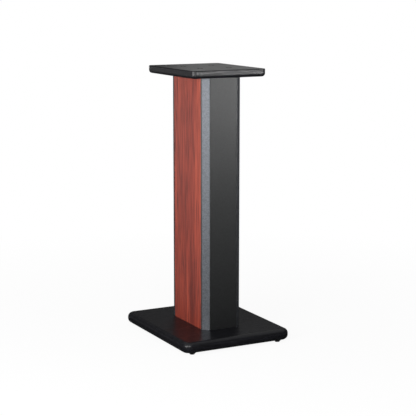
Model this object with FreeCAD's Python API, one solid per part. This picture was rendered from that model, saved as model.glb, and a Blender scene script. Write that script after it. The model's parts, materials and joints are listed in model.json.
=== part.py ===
import FreeCAD, Part
import math
import os

# Free-standing loudspeaker stand: a hollow column of boards between a base plate and a top plate.
# Millimetres, +Z up. The origin is on the floor under the middle of the stand, and the front faces -Y.
# The four levelling feet are drawn screwed fully in.

# Column
COLUMN_WIDTH = 114.0
COLUMN_DEPTH = 205.0
COLUMN_HEIGHT = 683.0
COLUMN_CHAMFER = 16.0

# Boards and strips that the column is glued up from
FACE_PANEL_THICKNESS = 15.0
CORE_WALL_THICKNESS = 18.0
WOOD_PANEL_THICKNESS = 5.0
WOOD_PANEL_EDGE_RADIUS = 2.4
POST_LAND = 1.0
SHADOW_GAP = 4.0
BRACE_THICKNESS = 15.0

# Base plate
BASE_WIDTH = 322.0
BASE_DEPTH = 384.0
BASE_THICKNESS = 30.0
BASE_CORNER_RADIUS = 24.0
BASE_UPPER_EDGE_RADIUS = 13.0
BASE_LOWER_EDGE_RADIUS = 13.0

# Top plate
TOP_WIDTH = 220.0
TOP_DEPTH = 274.0
TOP_THICKNESS = 21.0
TOP_CORNER_RADIUS = 12.0
TOP_UPPER_EDGE_RADIUS = 2.0
TOP_LOWER_EDGE_RADIUS = 9.0

# M6 connector screws with wide raised-countersunk heads that hold the top plate to the column walls
SCREW_SPACING_Y = 100.0
SCREW_RADIUS = 3.0
SCREW_HEAD_RADIUS = 8.0
SCREW_HEAD_CONE = 3.2
SCREW_HEAD_RIM = 0.5
SCREW_HEAD_CROWN = 1.2
SCREW_HEAD_RECESS = 0.3
SCREW_HEAD_GAP = 0.5
SCREW_SOCKET_FLATS = 4.0
SCREW_SOCKET_DEPTH = 2.6
SCREW_ENGAGEMENT = 13.0
SCREW_TIP_CHAMFER = 0.7

# Socket-head M6 bolts and washers that hold the base plate to the column walls
BOLT_HEAD_RADIUS = 5.0
BOLT_HEAD_HEIGHT = 6.0
BOLT_HEAD_RECESS = 2.0
BOLT_SOCKET_FLATS = 5.0
BOLT_SOCKET_DEPTH = 3.0
WASHER_RADIUS = 9.0
WASHER_THICKNESS = 1.6

# Threaded inserts in the ends of the column walls
INSERT_RADIUS = 5.0
INSERT_LENGTH = 15.0
INSERT_END_ROOM = 4.0

# Levelling feet
FLOOR_GAP = 6.0
FOOT_INSET_X = 31.0
FOOT_INSET_Y = 21.0
STUD_RADIUS = 4.0
STUD_REACH = 20.0
STUD_TIP_CHAMFER = 0.8
STUD_PIN_RADIUS = 2.5
FOOT_INSERT_RADIUS = 5.5
FOOT_INSERT_LENGTH = 16.0
FOOT_INSERT_FLANGE_RADIUS = 7.5
FOOT_INSERT_FLANGE_THICKNESS = 1.2
FOOT_HOLE_DEPTH = 23.0
DISC_RADIUS = 10.0
DISC_LOWER_RADIUS = 8.2
DISC_RIM_HEIGHT = 1.5
DISC_SEAT_GAP = 0.3
DISC_FLUTES = 20
DISC_FLUTE_RADIUS = 0.8
DISC_FLUTE_BITE = 0.35
SOLE_RADIUS = 6.6
SOLE_HEIGHT = 2.4
SOLE_FLOOR = 0.9
SOLE_EDGE_RADIUS = 0.7
SOLE_GAP = 0.2

# Clearances
SNUG_FIT = 0.05
PIN_FIT = 0.08
THROUGH_HOLE_CLEARANCE = 0.4
CUT_OVERRUN = 1.0
SAME_PLACE = 0.001

# Heights and places that follow from the sizes above
BASE_BOTTOM = FLOOR_GAP
BASE_TOP = BASE_BOTTOM + BASE_THICKNESS
COLUMN_TOP = BASE_TOP + COLUMN_HEIGHT
STAND_TOP = COLUMN_TOP + TOP_THICKNESS
SCREW_RIM_TOP = STAND_TOP - SCREW_HEAD_RECESS - SCREW_HEAD_CROWN
SCREW_CONE_TOP = SCREW_RIM_TOP - SCREW_HEAD_RIM
SCREW_CONE_BOTTOM = SCREW_CONE_TOP - SCREW_HEAD_CONE
BOLT_SEAT = BASE_BOTTOM + BOLT_HEAD_RECESS + BOLT_HEAD_HEIGHT + WASHER_THICKNESS
COLUMN_HALF_WIDTH = COLUMN_WIDTH / 2
COLUMN_HALF_DEPTH = COLUMN_DEPTH / 2
FACE_HALF_WIDTH = COLUMN_HALF_WIDTH - COLUMN_CHAMFER
WALL_OUTER_X = COLUMN_HALF_WIDTH - WOOD_PANEL_THICKNESS
WALL_INNER_X = WALL_OUTER_X - CORE_WALL_THICKNESS
WALL_MIDDLE_X = (WALL_OUTER_X + WALL_INNER_X) / 2
WALL_END_Y = COLUMN_HALF_DEPTH - FACE_PANEL_THICKNESS
POST_LAND_Y = COLUMN_HALF_DEPTH - COLUMN_CHAMFER
POST_BACK_Y = POST_LAND_Y - POST_LAND
WOOD_HALF_WIDTH = POST_BACK_Y - SHADOW_GAP
FASTENER_PLACES = [
    (side * WALL_MIDDLE_X, end * SCREW_SPACING_Y / 2) for side in (-1, 1) for end in (-1, 1)
]
FOOT_PLACES = {
    "front_left": (-BASE_WIDTH / 2 + FOOT_INSET_X, -BASE_DEPTH / 2 + FOOT_INSET_Y),
    "front_right": (BASE_WIDTH / 2 - FOOT_INSET_X, -BASE_DEPTH / 2 + FOOT_INSET_Y),
    "rear_left": (-BASE_WIDTH / 2 + FOOT_INSET_X, BASE_DEPTH / 2 - FOOT_INSET_Y),
    "rear_right": (BASE_WIDTH / 2 - FOOT_INSET_X, BASE_DEPTH / 2 - FOOT_INSET_Y),
}
HEXAGON_SIDES = 6
UP = FreeCAD.Vector(0, 0, 1)


def board(x_low, x_high, y_low, y_high, z_low, z_high):
    """A plain rectangular board between two corners."""
    corner = FreeCAD.Vector(x_low, y_low, z_low)
    return Part.makeBox(x_high - x_low, y_high - y_low, z_high - z_low, corner)


def prism(outline, z_low, z_high):
    """A solid with this anticlockwise plan outline, between two heights."""
    corners = [FreeCAD.Vector(x, y, z_low) for x, y in outline]
    face = Part.Face(Part.makePolygon(corners + corners[:1]))
    return face.extrude(UP * (z_high - z_low))


def turned(profile, place, crown_height=0):
    """A solid turned about a vertical axis from (radius, height) points.

    A crown height domes the last point's rim up to the axis, as on a raised screw head.
    """
    corners = [FreeCAD.Vector(radius, 0, height) for radius, height in profile]
    edges = [Part.makeLine(start, stop) for start, stop in zip(corners, corners[1:])]
    last = corners[-1]
    if crown_height:
        ball = (last.x**2 + crown_height**2) / (2 * crown_height)
        rise = crown_height - ball + math.sqrt(ball**2 - (last.x / 2) ** 2)
        middle = FreeCAD.Vector(last.x / 2, 0, last.z + rise)
        peak = FreeCAD.Vector(0, 0, last.z + crown_height)
        edges.append(Part.Arc(last, middle, peak).toShape())
        last = peak
    edges.append(Part.makeLine(last, corners[0]))
    solid = Part.Face(Part.Wire(edges)).revolve(FreeCAD.Vector(0, 0, 0), UP, 360)
    solid.translate(FreeCAD.Vector(place[0], place[1], 0))
    return solid


def rod(radius, z_low, z_high, place):
    """An upright cylinder, for pins and for the holes that take them."""
    foot = FreeCAD.Vector(place[0], place[1], z_low)
    return Part.makeCylinder(radius, z_high - z_low, foot)


def hexagon_bar(flats, z_low, z_high, place):
    """An upright hexagonal bar of this size across its flats, for key sockets."""
    corner_radius = flats / 2 / math.cos(math.pi / HEXAGON_SIDES)
    angles = [2 * math.pi * corner / HEXAGON_SIDES for corner in range(HEXAGON_SIDES)]
    outline = [
        (place[0] + corner_radius * math.cos(angle), place[1] + corner_radius * math.sin(angle))
        for angle in angles
    ]
    return prism(outline, z_low, z_high)


def upright_edges(solid):
    """The vertical edges of a board."""
    return [edge for edge in solid.Edges if abs(edge.tangentAt(edge.FirstParameter).dot(UP)) > 1 / 2]


def rim_edges(solid, height):
    """The edges that lie at one height."""
    return [edge for edge in solid.Edges if abs(edge.CenterOfMass.z - height) < SAME_PLACE]


def rounded_plate(width, depth, z_low, z_high, corner_radius, lower_radius, upper_radius):
    """A plate with round corners and a different round on its lower and upper edges."""
    plate = board(-width / 2, width / 2, -depth / 2, depth / 2, z_low, z_high)
    plate = plate.makeFillet(corner_radius, upright_edges(plate))
    plate = plate.makeFillet(lower_radius, rim_edges(plate, z_low))
    return plate.makeFillet(upper_radius, rim_edges(plate, z_high))


def base_plate():
    """The base, bored from below for the column bolts and for the levelling feet."""
    plate = rounded_plate(
        BASE_WIDTH,
        BASE_DEPTH,
        BASE_BOTTOM,
        BASE_TOP,
        BASE_CORNER_RADIUS,
        BASE_LOWER_EDGE_RADIUS,
        BASE_UPPER_EDGE_RADIUS,
    )
    below = BASE_BOTTOM - CUT_OVERRUN
    cuts = []
    for place in FASTENER_PLACES:
        cuts.append(rod(WASHER_RADIUS + THROUGH_HOLE_CLEARANCE, below, BOLT_SEAT, place))
        cuts.append(rod(SCREW_RADIUS + THROUGH_HOLE_CLEARANCE, below, BASE_TOP + CUT_OVERRUN, place))
    for place in FOOT_PLACES.values():
        flange_top = BASE_BOTTOM + FOOT_INSERT_FLANGE_THICKNESS
        sleeve_top = BASE_BOTTOM + FOOT_INSERT_LENGTH
        cuts.append(rod(FOOT_INSERT_FLANGE_RADIUS + SNUG_FIT, below, flange_top, place))
        cuts.append(rod(FOOT_INSERT_RADIUS + SNUG_FIT, below, sleeve_top, place))
        cuts.append(rod(STUD_RADIUS + THROUGH_HOLE_CLEARANCE, below, BASE_BOTTOM + FOOT_HOLE_DEPTH, place))
    return plate.cut(cuts)


def top_plate():
    """The top, countersunk for the four screws that hold it to the column."""
    plate = rounded_plate(
        TOP_WIDTH,
        TOP_DEPTH,
        COLUMN_TOP,
        STAND_TOP,
        TOP_CORNER_RADIUS,
        TOP_LOWER_EDGE_RADIUS,
        TOP_UPPER_EDGE_RADIUS,
    )
    below = COLUMN_TOP - CUT_OVERRUN
    above = STAND_TOP + CUT_OVERRUN
    recess_radius = SCREW_HEAD_RADIUS + SCREW_HEAD_GAP
    sink = [
        (0, SCREW_CONE_BOTTOM),
        (SCREW_RADIUS + SNUG_FIT, SCREW_CONE_BOTTOM),
        (SCREW_HEAD_RADIUS + SNUG_FIT, SCREW_CONE_TOP),
        (recess_radius, SCREW_CONE_TOP),
        (recess_radius, above),
        (0, above),
    ]
    cuts = []
    for place in FASTENER_PLACES:
        cuts.append(turned(sink, place))
        cuts.append(rod(SCREW_RADIUS + THROUGH_HOLE_CLEARANCE, below, above, place))
    return plate.cut(cuts)


def top_plate_screws():
    """Crowned socket screws, heads just below the top face."""
    tip = COLUMN_TOP - SCREW_ENGAGEMENT
    profile = [
        (0, tip),
        (SCREW_RADIUS - SCREW_TIP_CHAMFER, tip),
        (SCREW_RADIUS, tip + SCREW_TIP_CHAMFER),
        (SCREW_RADIUS, SCREW_CONE_BOTTOM),
        (SCREW_HEAD_RADIUS, SCREW_CONE_TOP),
        (SCREW_HEAD_RADIUS, SCREW_RIM_TOP),
    ]
    crown_top = SCREW_RIM_TOP + SCREW_HEAD_CROWN
    socket_floor = crown_top - SCREW_SOCKET_DEPTH
    screws = []
    for place in FASTENER_PLACES:
        key_socket = hexagon_bar(SCREW_SOCKET_FLATS, socket_floor, crown_top + CUT_OVERRUN, place)
        screws.append(turned(profile, place, SCREW_HEAD_CROWN).cut(key_socket))
    return screws


def base_bolts():
    """Socket-head bolts that come up through the base into the column walls."""
    head_bottom = BASE_BOTTOM + BOLT_HEAD_RECESS
    head_top = head_bottom + BOLT_HEAD_HEIGHT
    tip = BASE_TOP + SCREW_ENGAGEMENT
    profile = [
        (0, head_bottom),
        (BOLT_HEAD_RADIUS, head_bottom),
        (BOLT_HEAD_RADIUS, head_top),
        (SCREW_RADIUS, head_top),
        (SCREW_RADIUS, tip - SCREW_TIP_CHAMFER),
        (SCREW_RADIUS - SCREW_TIP_CHAMFER, tip),
        (0, tip),
    ]
    socket_top = head_bottom + BOLT_SOCKET_DEPTH
    bolts = []
    for place in FASTENER_PLACES:
        key_socket = hexagon_bar(BOLT_SOCKET_FLATS, head_bottom - CUT_OVERRUN, socket_top, place)
        bolts.append(turned(profile, place).cut(key_socket))
    return bolts


def base_bolt_washers():
    """Plain washers between the bolt heads and the base."""
    low = BOLT_SEAT - WASHER_THICKNESS
    bore = SCREW_RADIUS + THROUGH_HOLE_CLEARANCE
    profile = [(bore, low), (WASHER_RADIUS, low), (WASHER_RADIUS, BOLT_SEAT), (bore, BOLT_SEAT)]
    return [turned(profile, place) for place in FASTENER_PLACES]


def wall_inserts(z_low, z_high):
    """Threaded sleeves set flush in one end of the column walls."""
    bore = SCREW_RADIUS + SNUG_FIT
    profile = [(bore, z_low), (INSERT_RADIUS, z_low), (INSERT_RADIUS, z_high), (bore, z_high)]
    return [turned(profile, place) for place in FASTENER_PLACES]


def core_wall(side):
    """A structural side wall, bored at both ends for the threaded sleeves."""
    low, high = sorted((side * WALL_INNER_X, side * WALL_OUTER_X))
    wall = board(low, high, -WALL_END_Y, WALL_END_Y, BASE_TOP, COLUMN_TOP)
    depth = INSERT_LENGTH + INSERT_END_ROOM
    cuts = []
    for place in FASTENER_PLACES:
        if place[0] * side > 0:
            radius = INSERT_RADIUS + SNUG_FIT
            cuts.append(rod(radius, BASE_TOP - CUT_OVERRUN, BASE_TOP + depth, place))
            cuts.append(rod(radius, COLUMN_TOP - depth, COLUMN_TOP + CUT_OVERRUN, place))
    return wall.cut(cuts)


def wood_panel(side):
    """A veneered board that covers one core wall, with its two outer edges eased."""
    show_face = side * COLUMN_HALF_WIDTH
    low, high = sorted((side * WALL_OUTER_X, show_face))
    panel = board(low, high, -WOOD_HALF_WIDTH, WOOD_HALF_WIDTH, BASE_TOP, COLUMN_TOP)
    eased = [edge for edge in upright_edges(panel) if abs(edge.CenterOfMass.x - show_face) < SAME_PLACE]
    return panel.makeFillet(WOOD_PANEL_EDGE_RADIUS, eased)


def face_panel(end):
    """The black front (end -1) or rear (end 1) board."""
    low, high = sorted((end * WALL_END_Y, end * COLUMN_HALF_DEPTH))
    return board(-FACE_HALF_WIDTH, FACE_HALF_WIDTH, low, high, BASE_TOP, COLUMN_TOP)


def corner_post(side, end):
    """A corner strip with a 45 degree face, hooked round the end of a core wall."""
    outline = [
        (FACE_HALF_WIDTH, COLUMN_HALF_DEPTH),
        (FACE_HALF_WIDTH, WALL_END_Y),
        (WALL_OUTER_X, WALL_END_Y),
        (WALL_OUTER_X, POST_BACK_Y),
        (COLUMN_HALF_WIDTH, POST_BACK_Y),
        (COLUMN_HALF_WIDTH, POST_LAND_Y),
    ]
    placed = [(side * x, end * y) for x, y in outline]
    if side * end < 0:
        placed.reverse()
    return prism(placed, BASE_TOP, COLUMN_TOP)


def brace(z_low):
    """A board inside the column that keeps its four walls square."""
    return board(-WALL_INNER_X, WALL_INNER_X, -WALL_END_Y, WALL_END_Y, z_low, z_low + BRACE_THICKNESS)


def foot_inserts():
    """Flanged threaded sleeves let into the underside of the base."""
    bore = STUD_RADIUS + SNUG_FIT
    flange_top = BASE_BOTTOM + FOOT_INSERT_FLANGE_THICKNESS
    top = BASE_BOTTOM + FOOT_INSERT_LENGTH
    profile = [
        (bore, BASE_BOTTOM),
        (FOOT_INSERT_FLANGE_RADIUS, BASE_BOTTOM),
        (FOOT_INSERT_FLANGE_RADIUS, flange_top),
        (FOOT_INSERT_RADIUS, flange_top),
        (FOOT_INSERT_RADIUS, top),
        (bore, top),
    ]
    return [turned(profile, place) for place in FOOT_PLACES.values()]


def foot_stud(place):
    """The threaded stud of one foot, with a pin below that the sole turns on."""
    pin_low = SOLE_FLOOR + SOLE_GAP
    shoulder = SOLE_HEIGHT + SOLE_GAP
    tip = BASE_BOTTOM + STUD_REACH
    profile = [
        (0, pin_low),
        (STUD_PIN_RADIUS, pin_low),
        (STUD_PIN_RADIUS, shoulder),
        (STUD_RADIUS, shoulder),
        (STUD_RADIUS, tip - STUD_TIP_CHAMFER),
        (STUD_RADIUS - STUD_TIP_CHAMFER, tip),
        (0, tip),
    ]
    return turned(profile, place)


def foot_disc(place):
    """The fluted disc on the stud that fingers turn to level the stand."""
    low = SOLE_HEIGHT + SOLE_GAP
    high = BASE_BOTTOM - DISC_SEAT_GAP
    bore = STUD_RADIUS + SNUG_FIT
    profile = [
        (bore, low),
        (DISC_LOWER_RADIUS, low),
        (DISC_RADIUS, high - DISC_RIM_HEIGHT),
        (DISC_RADIUS, high),
        (bore, high),
    ]
    flute_circle = DISC_RADIUS + DISC_FLUTE_RADIUS - DISC_FLUTE_BITE
    flutes = []
    for flute in range(DISC_FLUTES):
        angle = 2 * math.pi * flute / DISC_FLUTES
        centre = (place[0] + flute_circle * math.cos(angle), place[1] + flute_circle * math.sin(angle))
        flutes.append(rod(DISC_FLUTE_RADIUS, low - CUT_OVERRUN, high + CUT_OVERRUN, centre))
    return turned(profile, place).cut(flutes)


def foot_sole(place):
    """The rubber sole that stays still on the floor while the stud turns in it."""
    sole = rod(SOLE_RADIUS, 0, SOLE_HEIGHT, place)
    sole = sole.makeFillet(SOLE_EDGE_RADIUS, rim_edges(sole, 0))
    return sole.cut(rod(STUD_PIN_RADIUS + PIN_FIT, SOLE_FLOOR, SOLE_HEIGHT + CUT_OVERRUN, place))


def pieces():
    """Every node of the stand, as a name and its solid or group of solids."""
    made = {
        "base_plate": base_plate(),
        "base_bolts": base_bolts(),
        "base_bolt_washers": base_bolt_washers(),
        "bottom_wall_inserts": wall_inserts(BASE_TOP, BASE_TOP + INSERT_LENGTH),
        "left_core_wall": core_wall(-1),
        "right_core_wall": core_wall(1),
        "front_panel": face_panel(-1),
        "rear_panel": face_panel(1),
        "left_wood_panel": wood_panel(-1),
        "right_wood_panel": wood_panel(1),
        "front_left_corner_post": corner_post(-1, -1),
        "front_right_corner_post": corner_post(1, -1),
        "rear_left_corner_post": corner_post(-1, 1),
        "rear_right_corner_post": corner_post(1, 1),
        "lower_column_brace": brace(BASE_TOP),
        "middle_column_brace": brace((BASE_TOP + COLUMN_TOP - BRACE_THICKNESS) / 2),
        "upper_column_brace": brace(COLUMN_TOP - BRACE_THICKNESS),
        "top_wall_inserts": wall_inserts(COLUMN_TOP - INSERT_LENGTH, COLUMN_TOP),
        "top_plate": top_plate(),
        "top_plate_screws": top_plate_screws(),
        "foot_inserts": foot_inserts(),
    }
    for name, place in FOOT_PLACES.items():
        made[name + "_foot_stud"] = foot_stud(place)
        made[name + "_foot_disc"] = foot_disc(place)
        made[name + "_foot_sole"] = foot_sole(place)
    return made


os.makedirs("parts", exist_ok=True)
for node, shape in pieces().items():
    if isinstance(shape, list):
        shape = Part.makeCompound(shape)
    shape.exportStep(os.path.join("parts", node + ".step"))
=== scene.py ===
import json
import math

import bmesh
import bpy
from bpy.props import FloatProperty, FloatVectorProperty, PointerProperty
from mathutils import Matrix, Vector


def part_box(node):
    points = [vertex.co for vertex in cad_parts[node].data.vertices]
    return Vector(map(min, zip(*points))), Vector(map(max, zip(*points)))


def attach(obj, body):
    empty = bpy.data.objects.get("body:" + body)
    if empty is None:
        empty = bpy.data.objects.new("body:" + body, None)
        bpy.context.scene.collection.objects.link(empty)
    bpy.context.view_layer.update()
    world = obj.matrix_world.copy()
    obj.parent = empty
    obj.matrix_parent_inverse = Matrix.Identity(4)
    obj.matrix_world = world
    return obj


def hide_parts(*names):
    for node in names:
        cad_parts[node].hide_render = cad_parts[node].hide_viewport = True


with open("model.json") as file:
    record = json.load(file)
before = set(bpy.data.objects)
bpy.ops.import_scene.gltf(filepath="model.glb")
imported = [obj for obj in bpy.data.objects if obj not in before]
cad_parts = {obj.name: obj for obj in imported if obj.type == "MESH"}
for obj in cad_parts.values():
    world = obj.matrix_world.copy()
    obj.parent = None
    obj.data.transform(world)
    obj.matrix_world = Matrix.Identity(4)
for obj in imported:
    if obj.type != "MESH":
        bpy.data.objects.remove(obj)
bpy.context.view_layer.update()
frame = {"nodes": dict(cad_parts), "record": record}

bl_info = {
    "name": "Speaker Stand",
    "version": (1, 0, 0),
    "blender": (4, 5, 0),
    "location": "3D View > Sidebar > Speaker Stand",
    "description": "Dresses a speaker stand in its finishes, fasteners and feet, and sets its stage",
    "category": "Object",
}

MM = 0.001
STAND = "stand"
FEET = ("front_left", "front_right", "rear_left", "rear_right")
WRAP_MAP = "wrap"
PAINTED_GROOVE_SHADE = "stained"
QUARTER_TURN = math.pi / 2
FULL_TURN = 2 * math.pi
SHARP_ANGLE = math.radians(30)
CORNER_STEPS = 16
EDGE_STEPS = 12
EASE_STEPS = 6
ROUND_SEGMENTS = 48
HEXAGON = 6

# Corners of the pieces that others line up with
BASE_LOW, BASE_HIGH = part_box("base_plate")
TOP_LOW, TOP_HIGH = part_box("top_plate")
WALL_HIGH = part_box("right_core_wall")[1]
SCREWS_LOW, SCREWS_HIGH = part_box("top_plate_screws")
BOLTS_LOW, BOLTS_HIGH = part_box("base_bolts")
WASHERS_LOW, WASHERS_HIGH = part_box("base_bolt_washers")
DISC_LOW, DISC_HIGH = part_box("front_left_foot_disc")
STUD_LOW, STUD_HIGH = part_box("front_left_foot_stud")
SOLE_LOW, SOLE_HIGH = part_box("front_left_foot_sole")

# M6 connector screws and their sinks in the top plate
SHANK_RADIUS = 3 * MM
SHANK_PITCH = 1 * MM
SHANK_HOLE_RADIUS = 3.4 * MM
SCREW_HEAD_RADIUS = 8 * MM
SCREW_HEAD_CONE = 3.2 * MM
SCREW_HEAD_RIM = 0.5 * MM
SCREW_HEAD_CROWN = 1.2 * MM
SCREW_SOCKET_RADIUS = 2 * MM
SCREW_SOCKET_DEPTH = 2.6 * MM
SOCKET_EASE = 0.25 * MM
SCREW_RECESS = 0.3 * MM
SCREW_CROWN_TOP = TOP_HIGH.z - SCREW_RECESS
SCREW_RIM_TOP = SCREW_CROWN_TOP - SCREW_HEAD_CROWN
SCREW_CONE_TOP = SCREW_RIM_TOP - SCREW_HEAD_RIM
SINK_RADIUS = 8.5 * MM
SINK_FLOOR_RADIUS = 8.05 * MM
RIM_EASE = 0.25 * MM
CROWN_STEPS = 6

# M6 bolts, washers and their bores in the base plate
BOLT_HEAD_RADIUS = 5 * MM
BOLT_HEAD_HEIGHT = 6 * MM
BOLT_HEAD_EASE = 0.5 * MM
BOLT_SOCKET_RADIUS = 2.5 * MM
BOLT_SOCKET_DEPTH = 3 * MM
WASHER_EASE = 0.2 * MM
WASHER_BORE_RADIUS = 9.4 * MM

# Levelling feet and their bores in the base plate
FOOT_FLANGE_RADIUS = 7.55 * MM
FOOT_FLANGE_DEPTH = 1.2 * MM
FOOT_SLEEVE_RADIUS = 5.55 * MM
FOOT_SLEEVE_DEPTH = 16 * MM
FOOT_BORE_RADIUS = 4.4 * MM
FOOT_BORE_DEPTH = 23 * MM
STUD_RADIUS = 4 * MM
STUD_PIN_RADIUS = 2.5 * MM
STUD_PIN_LENGTH = 1.5 * MM
DISC_LOWER_RADIUS = 8.2 * MM
DISC_RIM_HEIGHT = 1.5 * MM
DISC_EASE = 0.25 * MM
DISC_BORE_RADIUS = 4.05 * MM
DISC_FLUTES = 20
FLUTE_RADIUS = 0.8 * MM
FLUTE_BITE = 0.35 * MM
FLUTE_SEGMENTS = 24
FLUTE_CUTTER_HEIGHTS = 4
SOLE_FLOOR = 0.9 * MM
SOLE_EDGE = 0.7 * MM
SOLE_TOP_EDGE = 0.3 * MM
SOLE_BORE_RADIUS = 2.58 * MM

# Metric thread: its depth and flank as shares of its pitch, and the rings that draw one turn
THREAD_DEPTH_SHARE = 0.6134
THREAD_RINGS = 8
THREAD_SEGMENTS = 32
THREAD_FLANK = (0.06, 0.42)

# Seeds for the angles that tightened fasteners were left at
SCREW_SEED = 3
BOLT_SEED = 5
WASHER_SEED = 7

# Noises that mottle the finishes, and the windows of their values that the tones span
FINE_NOISE = {"Detail": 2, "Roughness": 0.6}
CLOUDY_NOISE = {"Detail": 3, "Roughness": 0.6}
FELTED_NOISE = {"Detail": 4, "Roughness": 0.7, "Distortion": 1.5}
CRISP_WINDOW = (0.35, 0.65)
SOFT_WINDOW = (0.3, 0.7)
WRAP_RIDGE = {"From Min": 0.35, "From Max": 0.7}

# The veneer's grain sways slowly, by up to this share of a broad band to either side
SWAY_SCALE = (16, 16, 4)
SWAY_SHARE = 1 / 5

# The veneer's figure is a mix of bands and lines, this far towards the lines. Its tones follow on each other
LINE_SHARE = 0.62
VENEER_BODY = {"From Min": 0.26, "From Max": 0.48}
VENEER_GLOW = {"From Min": 0.5, "From Max": 0.68}
VENEER_PORES = {"From Min": 0.5, "From Max": 0.63, "To Max": 0.7}

# The floor lies just under the soles. Its reflections carry painted shade behind the stand and to its right
FLOOR_REACH = 60.0
FLOOR_DROP = 0.05 * MM
PAINTED_SHADE_SIDE = (0.5, 0.866, 0)
WHITE = (1, 1, 1, 1)

# How white the floor is seen by metres from the stand, and the painted shade in its reflections: darker
# near the stand, by metres from it, and towards the shaded side, by the cosine of the bearing from that side
SEEN_RAMP = {"From Min": 0.2, "From Max": 1.5, "To Min": 0.93}
MIRROR_SHADE_RAMP = {"From Min": 0.3, "From Max": 6, "To Min": 0.05}
SHADE_SIDE_RAMP = {"From Min": 0.1, "From Max": 0.84, "To Min": 1, "To Max": 0.1}

# Heights on the world's unit sphere between which its backdrop ends and its ceiling begins
BACKDROP_END = {"From Min": 0.06, "From Max": 0.15}
CEILING_START = {"From Min": 0.5, "From Max": 0.9}

# Softboxes by the name of their power setting: place, aim, width, height, and their grid's angle in degrees
NO_GRID = 180
SOFTBOXES = {
    "key": ((-1.6, -0.9, 0.7), (0, 0, 0.45), 0.8, 0.8, NO_GRID),
    "fill": ((-0.69, -1.72, 0.75), (0, 0, 0.5), 0.25, 0.4, NO_GRID),
    "front": ((0.75, -1.5, 0.6), (0, 0, 0.95), 0.4, 0.2, 60),
    "rim": ((0.9, 1.37, 1.3), (0, 0, 0.74), 0.6, 0.5, NO_GRID),
    "back": ((0, 2.2, 0.42), (0, 0, 0.42), 0.4, 0.4, 18),
}
SENSOR_WIDTH = 36

# The feet rise by one pitch of their stud for each turn
STUD_PITCH = frame["record"]["behaviour"]["couplings"][0]["ratio"] * FULL_TURN


def linear(hex_colour):
    """Scene-linear colour of an sRGB hex value, with full alpha."""
    shares = [int(hex_colour[start : start + 2], 16) / 255 for start in (1, 3, 5)]
    curve = [s / 12.92 if s <= 0.04045 else ((s + 0.055) / 1.055) ** 2.4 for s in shares]
    return (*curve, 1.0)


def length(name, description, millimetres):
    """A size property that is shown with its unit."""
    return FloatProperty(
        name=name,
        description=description,
        default=millimetres * MM,
        min=0.0,
        unit="LENGTH",
        subtype="DISTANCE",
    )


def colour(name, description, hex_colour):
    """A colour property with its default from an sRGB hex value."""
    return FloatVectorProperty(
        name=name,
        description=description,
        default=linear(hex_colour),
        size=4,
        min=0.0,
        max=1.0,
        subtype="COLOR",
    )


def power(name, description, watts):
    """A lamp's power property."""
    return FloatProperty(name=name, description=description, default=watts, min=0, unit="POWER")


def level(name, description, strength):
    """A property for the strength of one part of the world's light."""
    return FloatProperty(name=name, description=description, default=strength, min=0)


class StandSizes(bpy.types.PropertyGroup):
    """Edge rounds of the boards and the sizes of the patterns in their finishes."""

    base_corner: length("Base corner", "Plan radius of the base plate's corners", 24)
    base_upper_edge: length("Base upper edge", "Round on the base plate's upper edge", 13)
    base_lower_edge: length("Base lower edge", "Round on the base plate's lower edge", 13)
    top_corner: length("Top corner", "Plan radius of the top plate's corners", 12)
    top_upper_edge: length("Top upper edge", "Round on the top plate's upper edge", 2)
    top_lower_edge: length("Top lower edge", "Round on the top plate's lower edge", 9)
    veneer_edge: length("Veneer edge", "Round on the wood panels' show edges", 2.4)
    board_edge: length("Board edge", "Ease on the face panels' and corner strips' show edges", 0.6)
    wrap_pore_width: length("Wrap pore width", "Width of the pores pressed into the plates' wrap", 5)
    wrap_pore_length: length("Wrap pore length", "Length of the pores pressed into the plates' wrap", 60)
    pebble: length("Pebble", "Spacing of the fine bumps in the face panels' wrap", 4.5)
    veneer_band: length("Veneer band", "Width of the broad bands in the veneer", 42)
    veneer_line: length("Veneer line", "Width of the growth lines in the veneer", 6)
    veneer_pore: length("Veneer pore", "Width of the dark pores in the veneer", 2.4)
    flake: length("Flake", "Size of the flakes in the corner strips' paint", 3)
    fibre: length("Fibre", "Size of the fibre tufts in the raw boards", 2.5)


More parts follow.
